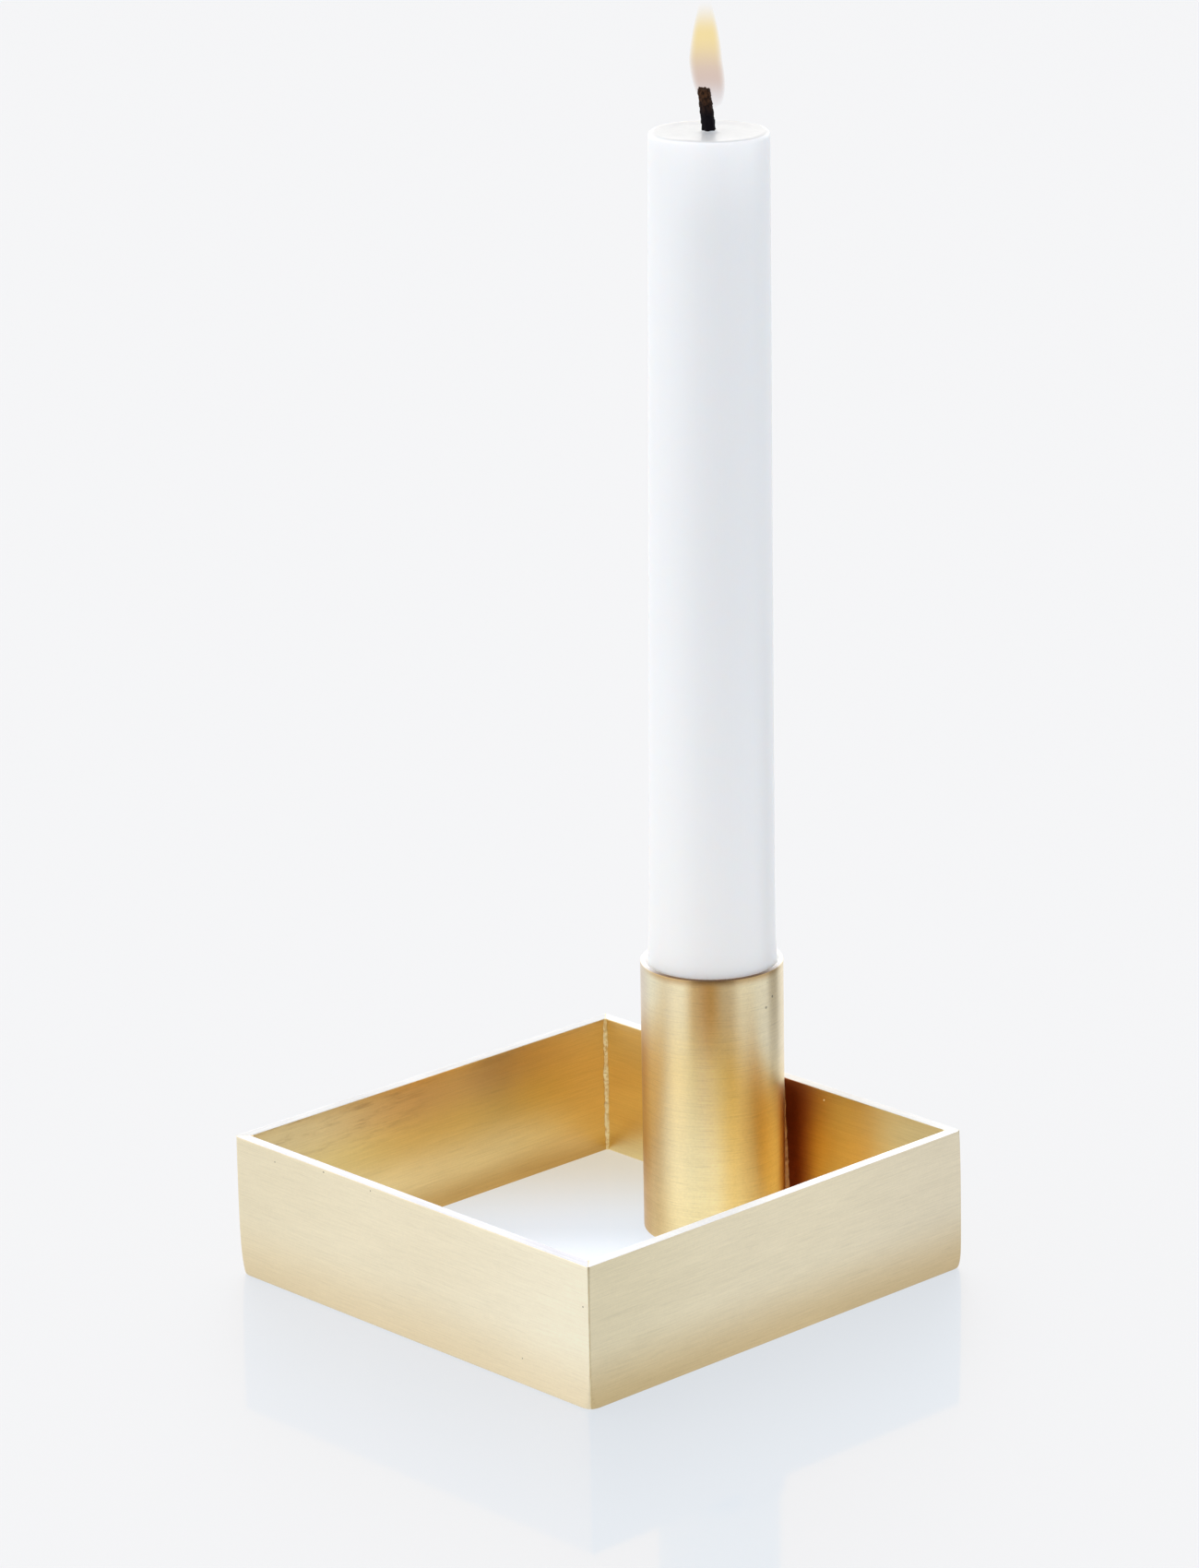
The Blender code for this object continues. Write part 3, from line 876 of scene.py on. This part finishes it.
def rear_inside(shader, deep):
    """The rear wall's inside: painted shade towards its right end, and red-brown painted shade beside the
    tube, where the tube's shaded side is reflected.
    """
    x, _, z = shader.split(shader.place())
    # Painted shade towards the right end, and red-brown painted shade beside the tube.
    deep = shader.brightened(deep, shader.fade(x, 0.25 * HALF, 0.95 * HALF, 1.0, 0.72))
    from_tube = shader.math("ABSOLUTE", shader.math("SUBTRACT", x, TUBE_AXIS.x))
    reach = shader.fade(z, 12.0 * MM, WALL_HEIGHT, 14.0 * MM, 19.0 * MM)
    painted_shade = shader.fade(from_tube, 6.0 * MM, reach, 1.0, 0.0)
    return shader.mix(painted_shade, deep, REAR_PAINTED_SHADE)


def brushed_wall(side, seed):
    """A bar's finish: pale and evenly brushed outside, with painted light and shade along it, painted shade
    towards its foot and a pale painted highlight on its rim, and deeper gold inside, a painted reflection.
    """
    look = WALL_LOOKS[side]
    made, shader = new_material(f"brushed_brass_{side}")
    place = shader.place()
    x, y, z = shader.split(place)
    if side in ("front", "rear"):
        along, out, scratch = x, y, (1.0, 0.0, 0.0)
    else:
        along, out, scratch = y, x, (0.0, 1.0, 0.0)
    grain = shader.join(shader.math("ADD", along, 0.31 * seed), out, z)
    # Painted shade: the outside darker and warmer towards its foot.
    low = shader.fade(z, 0.0, 12.0 * MM, 1.0, 0.0)
    pale = shader.mix(low, WALL_PALE, look["foot"])
    # Painted light and shade along the outside, from one end to the other.
    first, middle, last = look["along"]
    level = shader.mix(shader.fade(along, -HALF, 0.0), first, middle)
    level = shader.mix(shader.fade(along, 0.0, HALF), level, last)
    pale = shader.vector("MULTIPLY", pale, level)
    height = shader.math("DIVIDE", z, WALL_HEIGHT)
    # The inside's deeper gold, by height, is a painted reflection.
    deep = shader.ramp(height, look["inside"])
    if side == "left":
        deep = left_inside(shader, deep, height)
    if side == "rear":
        deep = rear_inside(shader, deep)
    # Glints: painted highlights, which also glow.
    glints = shader.specks(place, 2.1, 0.10, 0.055)
    deep = shader.mix(glints, deep, GLINT)
    from_middle = shader.math("ABSOLUTE", out)
    inside = shader.fade(from_middle, INNER_HALF + 0.05 * MM, INNER_HALF + 0.4 * MM, 1.0, 0.0)
    colour = shader.mix(inside, pale, deep)
    # The upward faces get a pale colour: a painted highlight.
    rim = shader.fade(shader.split(shader.facing())[2], 0.6, 0.95)
    colour = shader.mix(rim, colour, look["rim"])
    outside = shader.math("SUBTRACT", 1.0, inside)
    pits = shader.math("MULTIPLY", shader.specks(place, 3.4, 0.060, 0.12), outside)
    if look["marks"]:
        pits = shader.math("MAXIMUM", pits, shader.spots(place, look["marks"], 0.17 * MM))
    sparkle = shader.product(glints, inside, GLINT_GLOW)
    brushed_metal(shader, grain, scratch, colour, rim, WALL_WEAR, pits, sparkle, GLINT_GLOW_COLOUR)
    return made


def brushed_tube(name):
    """The tube's finish: brushed round it, with painted reflections, deep gold low down, paler above the
    walls and warmer at its foot. Its rim is a painted highlight behind and painted shade in front, with
    painted shade under it in front, its bore's far side has a painted highlight, and the inside of its mouth
    a painted glow for the candle's light."""
    made, shader = new_material(name)
    place = shader.place()
    x, y, z = shader.split(place)
    from_axis_x = shader.math("SUBTRACT", x, TUBE_AXIS.x)
    from_axis_y = shader.math("SUBTRACT", TUBE_AXIS.y, y)
    angle = shader.math("ARCTAN2", from_axis_x, from_axis_y)
    radial = shader.join(from_axis_x, shader.math("MULTIPLY", from_axis_y, -1.0), 0.0)
    scratch = shader.vector("CROSS_PRODUCT", (0.0, 0.0, 1.0), radial)
    around = shader.math("MULTIPLY", angle, TUBE_RADIUS)
    from_axis = shader.vector("LENGTH", radial)
    grain = shader.join(around, from_axis, z)
    # Painted reflections: colour bands across the tube as the camera sees it, deep gold low, paler high.
    sideways = shader.math("DIVIDE", shader.vector("DOT_PRODUCT", radial, TO_THE_RIGHT), TUBE_RADIUS)
    share = shader.math("MULTIPLY_ADD", sideways, 0.5, 0.5)
    to_right = shader.math("MULTIPLY", shader.math("MAXIMUM", sideways, 0.0), 10.0 * MM)
    high = shader.fade(shader.math("ADD", z, to_right), 30.0 * MM, 44.0 * MM)
    colour = shader.mix(high, shader.ramp(share, TUBE_LOW_PAINTED_REFLECTIONS), shader.ramp(share, TUBE_HIGH_PAINTED_REFLECTIONS))
    # Painted reflection: warmer towards the foot.
    near_foot = shader.fade(z, 3.0 * MM, 18.0 * MM, 0.55, 0.0)
    colour = shader.mix(near_foot, colour, TUBE_FOOT_PAINTED_REFLECTION, "MULTIPLY")
    upward = shader.split(shader.facing())[2]
    rim = shader.fade(upward, 0.5, 0.9)
    in_front = shader.math("DIVIDE", shader.vector("DOT_PRODUCT", radial, TOWARDS_CAMERA), TUBE_RADIUS)
    # Painted shade just under the rim, in front.
    near_rim = shader.fade(z, TUBE_HEIGHT - 1.6 * MM, TUBE_HEIGHT)
    edge = shader.product(near_rim, shader.fade(in_front, 0.2, 0.7))
    colour = shader.mix(edge, colour, TUBE_EDGE_PAINTED_SHADE)
    # The rim: a pale painted highlight behind, painted shade in front.
    colour = shader.mix(rim, colour, shader.mix(shader.fade(in_front, 0.25, 0.80), *TUBE_RIM_PAINTED_LIGHT_AND_SHADE))
    # A pale painted highlight on the bore's far side.
    bore = shader.fade(from_axis, BORE_RADIUS + 0.05 * MM, BORE_RADIUS + 0.30 * MM, 1.0, 0.0)
    bore_behind = shader.math("MULTIPLY", bore, shader.fade(in_front, 0.0, 0.6, 1.0, 0.0))
    colour = shader.mix(bore_behind, colour, BORE_PAINTED_HIGHLIGHT)
    marks = []
    for sideways_mm, height_mm in TUBE_PITS:
        forward_mm = math.sqrt((TUBE_RADIUS / MM) ** 2 - sideways_mm**2)
        out = (TO_THE_RIGHT * sideways_mm + TOWARDS_CAMERA * forward_mm) * MM
        marks.append(Vector((TUBE_AXIS.x + out.x, TUBE_AXIS.y + out.y, height_mm * MM)))
    pits = shader.specks(place, 3.4, 0.055, 0.12)
    pits = shader.math("MAXIMUM", shader.spots(place, marks, 0.28 * MM), pits)
    # A painted glow inside the mouth, for the candle's light.
    near_mouth = shader.fade(z, TUBE_HEIGHT - 6.0 * MM, TUBE_HEIGHT - 1.0 * MM, 0.0, MOUTH_GLOW)
    upright = shader.fade(upward, 0.05, 0.35, 1.0, 0.0)
    mouth = shader.product(bore, near_mouth, upright, shader.fade(in_front, 0.0, 0.5, 1.0, 0.0))
    brushed_metal(shader, grain, scratch, colour, rim, TUBE_WEAR, pits, mouth, MOUTH_GLOW_COLOUR)
    return made


def filler(name, pale, stained):
    """Filler metal as it set: pitted and uneven."""
    made, shader = new_material(name)
    place = shader.place()
    lumps = shader.noise(scaled(shader, place, (0.5, 0.5, 0.5)), detail=4.0, roughness=0.6)
    stain = shader.noise(scaled(shader, place, (0.9, 0.9, 1.8)), detail=3.0)
    colour = shader.mix(shader.fade(stain, 0.35, 0.68), pale, stained)
    shader.principled(
        Base_Color=colour,
        Metallic=0.85,
        Roughness=shader.fade(lumps, 0.3, 0.7, 0.36, 0.55),
        Normal=shader.bump(lumps, 0.06 * MM),
    )
    return made


def wax(name):
    """Smooth white wax with a painted glow for light through it near the flame and near the bright brass."""
    made, shader = new_material(name)
    place = shader.place()
    z = shader.split(place)[2]
    cloud = shader.noise(scaled(shader, place, (9.0, 9.0, 30.0)), detail=3.0)
    drawn = shader.noise(scaled(shader, place, (0.8, 0.8, 26.0)), detail=3.0)
    skin = shader.noise(scaled(shader, place, (0.7, 0.7, 0.7)), detail=4.0)
    relief = shader.math("ADD", shader.math("MULTIPLY", drawn, 0.7), shader.math("MULTIPLY", skin, 0.3))
    colour = shader.mix(cloud, *WAX_COLOURS)
    upward = shader.fade(shader.split(shader.facing())[2], 0.55, 1.0)
    aside = shader.vector("DOT_PRODUCT", shader.facing(), TO_THE_RIGHT)
    # A painted glow, for light through the wax near the flame and near the brass.
    by_flame = shader.fade(z, CANDLE_TOP - 16.0 * MM, CANDLE_TOP, 0.0, 0.09)
    by_flame = shader.math("MULTIPLY", by_flame, shader.fade(aside, -0.95, -0.15))
    by_brass = shader.fade(z, 40.0 * MM, 130.0 * MM, 0.095, 0.045)
    left_edge = shader.fade(aside, -1.00, -0.60, 0.45, 1.0)
    right_edge = shader.fade(aside, 0.60, 1.00, 1.0, 0.1)
    side = shader.fade(upward, 0.0, 1.0, 1.0, 0.2)
    glow = shader.product(shader.math("ADD", by_flame, by_brass), left_edge, right_edge, side)
    # The top's darker colour is painted shade.
    shader.principled(
        Base_Color=shader.mix(upward, colour, WAX_TOP_PAINTED_SHADE),
        Roughness=shader.fade(skin, 0.3, 0.7, 0.34, 0.44),
        Subsurface_Weight=0.6,
        Subsurface_Radius=(1.0, 0.85, 0.75),
        Subsurface_Scale=2.5 * MM,
        Emission_Color=WAX_GLOW_COLOUR,
        Emission_Strength=glow,
        Normal=shader.bump(relief, 0.02 * MM),
    )
    return made


def charred_cotton(name):
    """Soot-black cotton, browner and ashier towards its tip."""
    made, shader = new_material(name)
    place = shader.place()
    z = shader.split(place)[2]
    ash = shader.noise(scaled(shader, place, (0.35, 0.35, 0.6)), detail=4.0, roughness=0.65)
    fibres = shader.noise(scaled(shader, place, (0.12, 0.12, 0.9)), detail=3.0)
    tip = shader.fade(z, WICK_TIP - 4.8 * MM, WICK_TIP - 0.6 * MM)
    black = shader.mix(ash, *SOOT_COLOURS)
    brown = shader.mix(shader.fade(ash, 0.35, 0.65), *CHAR_COLOURS)
    shader.principled(
        Base_Color=shader.mix(tip, black, brown),
        Roughness=0.85,
        Specular_IOR_Level=0.15,
        Normal=shader.bump(shader.math("ADD", ash, fibres), 0.05 * MM),
    )
    return made


# Staging


def flame_glow(name):
    """The flame's light, clear at its edge, its foot and its tip."""
    made, shader = new_material(name)
    made.surface_render_method = "BLENDED"
    z = shader.split(shader.place())[2]
    sideways = shader.add("ShaderNodeLayerWeight", output=1, Blend=0.5)
    body = shader.fade(sideways, 0.15, 0.95, 1.0, 0.0)
    base = CANDLE_TOP + 2.0 * MM
    foot, middle, tip = FLAME_COLOURS
    colour = shader.mix(shader.fade(z, base, base + 7.0 * MM), foot, middle)
    colour = shader.mix(shader.fade(z, base + 6.0 * MM, base + 13.0 * MM), colour, tip)
    bottom = shader.fade(z, base, base + 6.0 * MM, 0.05, 1.0)
    top = shader.fade(z, base + 13.0 * MM, base + 19.0 * MM, 1.0, 0.0)
    far_side = shader.add("ShaderNodeNewGeometry", output="Backfacing")
    opacity = shader.product(body, bottom, top, far_side)
    glow = shader.add("ShaderNodeEmission", Color=colour, Strength=1.0)
    clear = shader.add("ShaderNodeBsdfTransparent")
    shader.surface(shader.blend(opacity, clear, glow))
    return made


def flame():
    """A still flame over the wick, leaning a little."""
    base = CANDLE_TOP + 3.2 * MM
    length = 20.0 * MM
    profile = [(0.0, base + length)]
    for i in range(1, 24):
        share = 1.0 - i / 24
        width = 2.75 * MM * math.sin(math.pi * share**0.62) ** 0.75
        profile.append((width, base + length * share))
    profile.append((0.0, base))

    def place(radius, angle, height):
        aside = 0.65 * MM - 1.15 * MM * min(1.0, (height - base) / (8.0 * MM))
        return beside_axis(aside, radius, angle, height)

    mesh = lathe("flame", profile, 48, place)
    mesh.shade_smooth()
    mesh.materials.append(flame_glow("flame"))
    made = new_object("flame", mesh)
    made.visible_shadow = False
    made.visible_diffuse = False
    made.visible_glossy = False
    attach(made, "candle")
    made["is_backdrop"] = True


def floor():
    """A plain white sheet, evenly lit from below, with a soft sheen, and painted light inside the frame."""
    made, shader = new_material("floor")
    x, y, _ = shader.split(shader.place())
    matt = shader.add("ShaderNodeBsdfDiffuse", Color=(0.08, 0.08, 0.08))
    inside_x = shader.fade(shader.math("ABSOLUTE", x), INNER_HALF, HALF, 1.0, 0.0)
    inside_y = shader.fade(shader.math("ABSOLUTE", y), INNER_HALF, HALF, 1.0, 0.0)
    inside = shader.math("MULTIPLY", inside_x, inside_y)
    # Painted light inside the frame: brighter towards the front, and warmer near the back inner corner.
    from_back = shader.math("ADD", shader.math("ADD", x, INNER_HALF), shader.math("SUBTRACT", INNER_HALF, y))
    lift = shader.fade(from_back, 6.0 * MM, 46.0 * MM, 0.02, 0.10)
    lift = shader.math("ADD", lift, shader.fade(from_back, 52.0 * MM, 80.0 * MM, 0.0, 0.34))
    level = shader.math("ADD", 1.0, shader.math("MULTIPLY", inside, lift))
    warm = shader.math("MULTIPLY", inside, shader.fade(from_back, 0.0, 60.0 * MM, 1.0, 0.0))
    colour = shader.mix(warm, FLOOR_LIGHT, FLOOR_CORNER_LIGHT)
    light = shader.add("ShaderNodeEmission", Color=colour, Strength=level)
    body = shader.tree.nodes.new("ShaderNodeAddShader")
    shader.feed(body.inputs[0], matt)
    shader.feed(body.inputs[1], light)
    broad = shader.add("ShaderNodeBsdfGlossy", Color=(1.00, 1.05, 1.10), Roughness=0.52)
    narrow = shader.add("ShaderNodeBsdfGlossy", Color=(1.25, 0.65, 0.10), Roughness=0.06)
    shader.surface(shader.blend(FLOOR_SHEEN, body.outputs[0], shader.blend(0.35, broad, narrow)))
    reach = 8.0
    corners = [(-reach, -reach, 0.0), (reach, -reach, 0.0), (reach, reach, 0.0), (-reach, reach, 0.0)]
    mesh = new_mesh("floor", corners, [(0, 1, 2, 3)])
    mesh.materials.append(made)
    new_object("floor", mesh)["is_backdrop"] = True


def studio_light():
    """Soft light from all round: strongest from behind, weaker from the camera's side."""
    world = bpy.data.worlds.new("studio")
    bpy.context.scene.world = world
    shader = Shader(world)
    direction = shader.add("ShaderNodeTexCoord", output=0)
    up = shader.split(direction)[2]
    front = shader.vector("DOT_PRODUCT", direction, TOWARDS_CAMERA)
    right = shader.vector("DOT_PRODUCT", direction, TO_THE_RIGHT)
    low = shader.fade(up, 0.55, 0.85, 1.0, 0.0)
    dark_front = shader.math("MULTIPLY", shader.fade(front, 0.55, 0.98), low)
    bright_left = shader.fade(right, -0.2, -0.9)
    dim_right = shader.fade(right, 0.2, 0.9)
    behind = shader.math("MULTIPLY", shader.fade(front, -0.55, -0.85), low)
    level = shader.mix(bright_left, LIGHT_AROUND, LIGHT_LEFT)
    level = shader.mix(dim_right, level, LIGHT_RIGHT)
    level = shader.mix(dark_front, level, LIGHT_FRONT)
    level = shader.mix(behind, level, LIGHT_BEHIND)
    background = shader.add("ShaderNodeBackground", Color=level, Strength=1.0)
    shader.surface(background, "ShaderNodeOutputWorld")


def dark_card(name, colour, towards, distance, half_width, height):
    """A standing card, this far from the tube, that puts a dark band down it. Only reflections see it, and
    not those in the floor: the card is clear to a ray that starts at floor height."""
    made, shader = new_material(name)
    seen_at = shader.split(shader.add("ShaderNodeNewGeometry"))[2]
    back = shader.split(shader.add("ShaderNodeNewGeometry", output="Incoming"))[2]
    travelled = shader.add("ShaderNodeLightPath", output="Ray Length")
    started_at = shader.math("ADD", seen_at, shader.math("MULTIPLY", back, travelled))
    above_floor = shader.math("GREATER_THAN", started_at, 0.1 * MM)
    light = shader.add("ShaderNodeEmission", Color=colour, Strength=1.0)
    shader.surface(shader.blend(above_floor, shader.add("ShaderNodeBsdfTransparent"), light))
    middle = Vector((TUBE_AXIS.x, TUBE_AXIS.y, 0.0)) + towards * distance
    side = towards.cross(Vector((0.0, 0.0, -1.0))) * half_width
    rise = Vector((0.0, 0.0, height))
    corners = [middle - side, middle + side, middle + side + rise, middle - side + rise]
    mesh = new_mesh(name, corners, [(0, 1, 2, 3)])
    mesh.materials.append(made)
    card = new_object(name, mesh)
    card.visible_camera = False
    card.visible_diffuse = False
    card.visible_shadow = False
    card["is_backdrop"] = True


def camera():
    data = bpy.data.cameras.new("camera")
    data.sensor_width = 36.0
    data.lens = CAMERA_LENS
    data.clip_start = 0.05
    data.clip_end = 50.0
    made = new_object("camera", data)
    level = math.cos(CAMERA_ELEVATION)
    back = TOWARDS_CAMERA * level + Vector((0.0, 0.0, math.sin(CAMERA_ELEVATION)))
    made.location = CAMERA_AIM + back * CAMERA_DISTANCE
    upright = (-back).to_track_quat("-Z", "Y")
    made.rotation_mode = "QUATERNION"
    made.rotation_quaternion = upright @ Quaternion((0.0, 0.0, 1.0), CAMERA_ROLL)
    bpy.context.scene.camera = made


def build():
    frame_walls()
    corner_beads(filler("filler_metal", *FILLER_COLOURS))
    # Darkened red-brown filler beside the tube: painted shade in the crevice there.
    joint_finish = filler("filler_metal_painted_shade", *PAINTED_SHADE_FILLER_COLOURS)
    add_piece("tube_braze_fillet", tube_joint_mesh(), joint_finish, "holder", "filler_metal", "tube_braze")
    tube_finish = brushed_tube("tube_brass")
    add_piece("candle_tube_brushed", tube_mesh(), tube_finish, "holder", "tube_brass", "candle_tube")
    frame["nodes"]["socket_floor"].material_slots[0].material = tube_finish
    add_piece("candle_body", candle_mesh(), wax("white_wax"), "candle", "white_wax", "candle_wax")
    cotton = charred_cotton("charred_cotton")
    add_piece("braided_wick", wick_mesh(), cotton, "candle", "charred_cotton", "wick")
    flame()
    floor()
    studio_light()
    dark_card("dark_card_front", FRONT_CARD, TOWARDS_CAMERA, 0.17, 0.120, 0.40)
    beside = (TO_THE_RIGHT * 0.94 - TOWARDS_CAMERA * 0.34).normalized()
    dark_card("dark_card_side", SIDE_CARD, beside, 0.11, 0.026, 0.08)
    camera()
    bpy.context.scene.view_settings.view_transform = "Standard"


def write_sizes():
    boxes = {"cad": CAD_BOX, "visual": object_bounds()}
    plain = {name: [list(corner) for corner in box] for name, box in boxes.items()}


build()
write_sizes()
